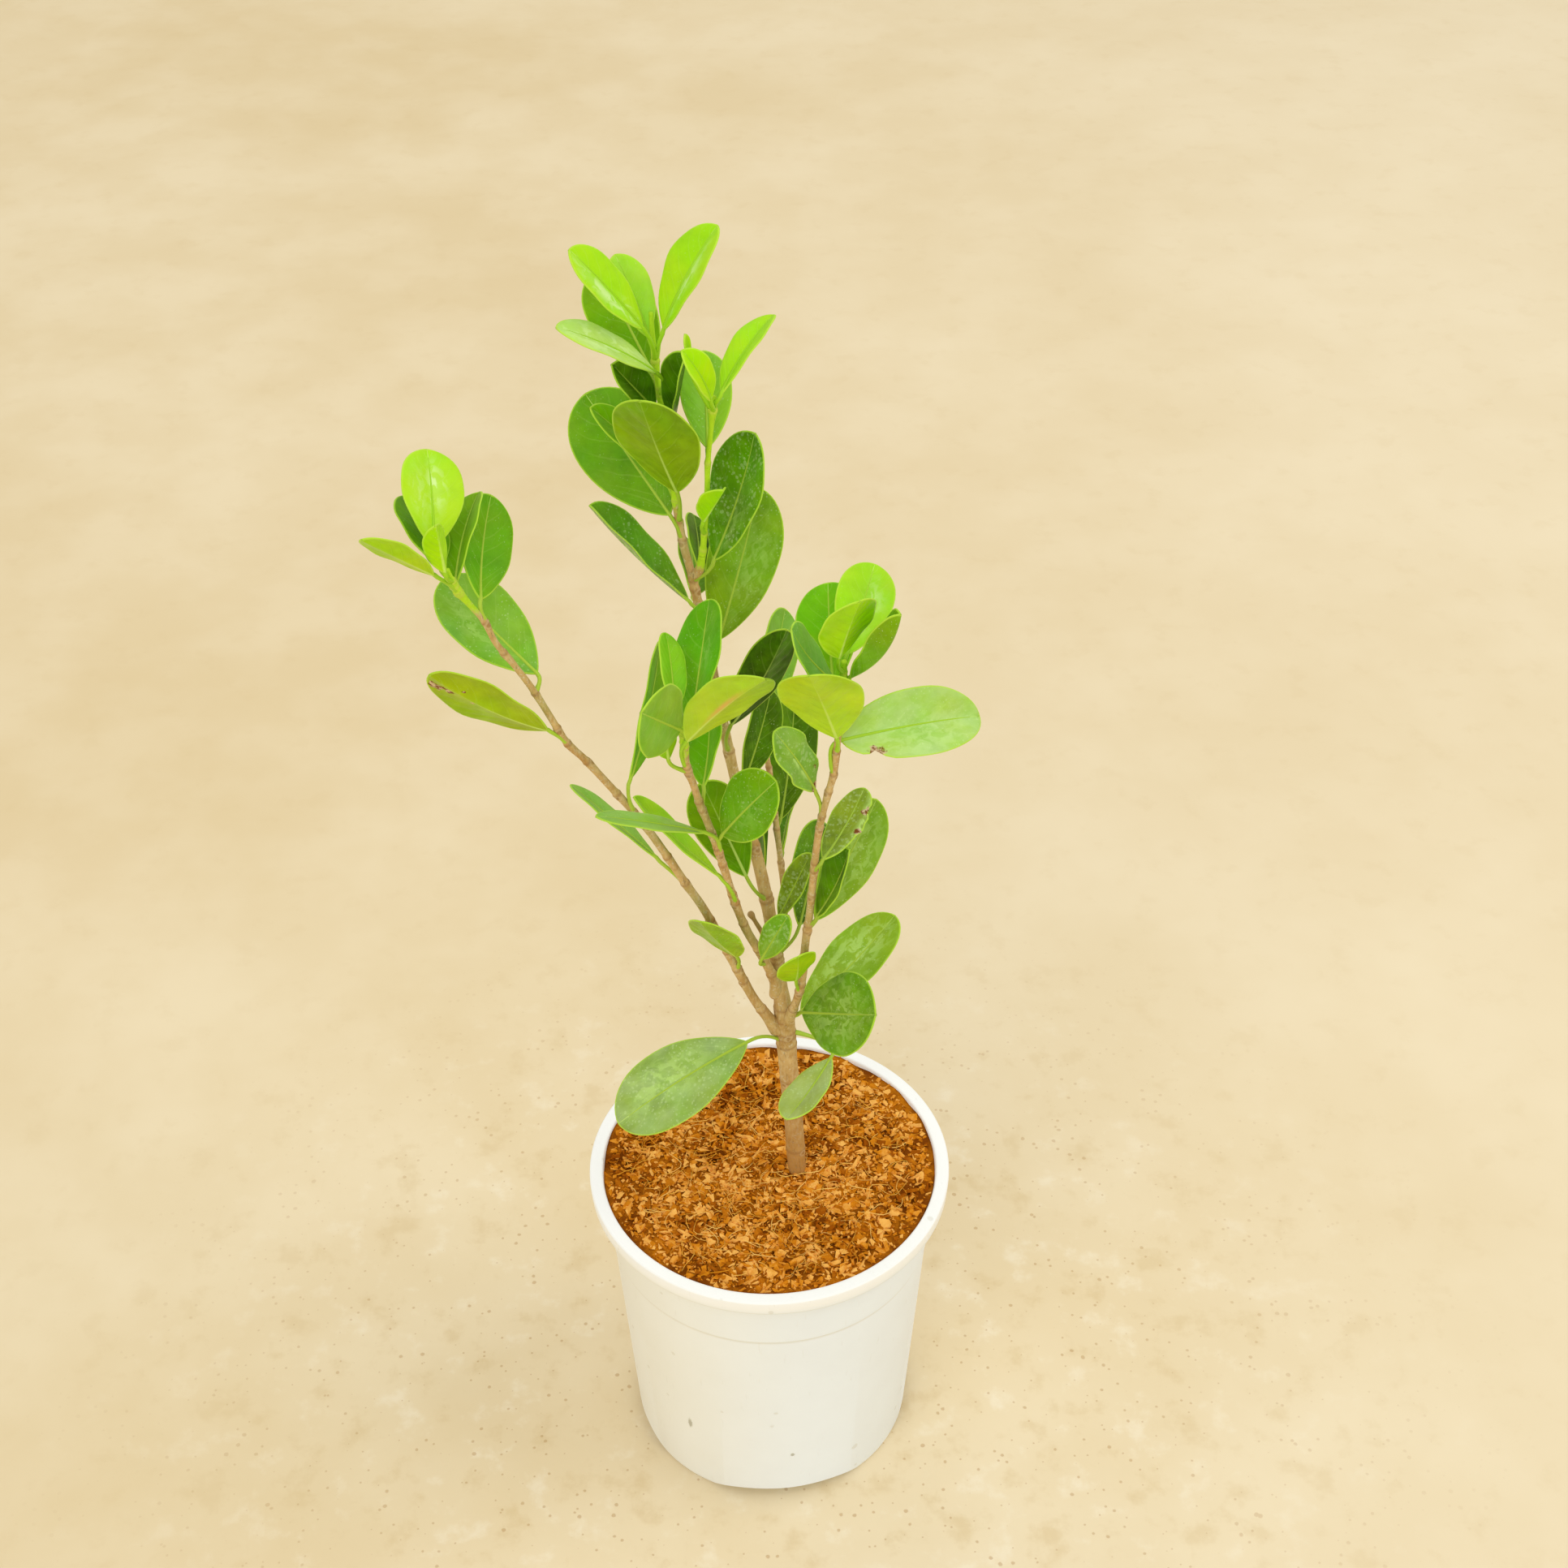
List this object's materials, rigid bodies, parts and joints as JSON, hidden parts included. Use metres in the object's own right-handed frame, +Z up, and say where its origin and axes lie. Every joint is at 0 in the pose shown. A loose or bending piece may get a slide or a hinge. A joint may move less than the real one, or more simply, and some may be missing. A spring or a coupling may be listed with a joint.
{
  "type": "potted moclame chinese banyan",
  "caption": "Young fig shrub with thick rounded leaves on thin forked stems, growing in a round white plastic nursery pot filled with coconut fibre",
  "frame": {"origin": "centre of the pot's underside, on the surface that the pot stands on", "axes": "+Z up along the pot's axis, -Y towards the front from which the plant is seen, +X to the right of that view"},
  "size_m": [0.1678, 0.1306, 0.4715],
  "materials": {
    "white_plastic": "satin",
    "coconut_fibre": "loose, coarse and matte",
    "fig_leaf": "leathery leaf with a soft gloss, on thin tan bark"
  },
  "bodies": {
    "root": {"pot": "white_plastic", "cocopeat": "coconut_fibre", "main_stem": "fig_leaf", "left_branch": "fig_leaf", "middle_branch": "fig_leaf", "right_branch": "fig_leaf", "back_branch": "fig_leaf", "side_shoot": "fig_leaf"}
  },
  "joints": []
}
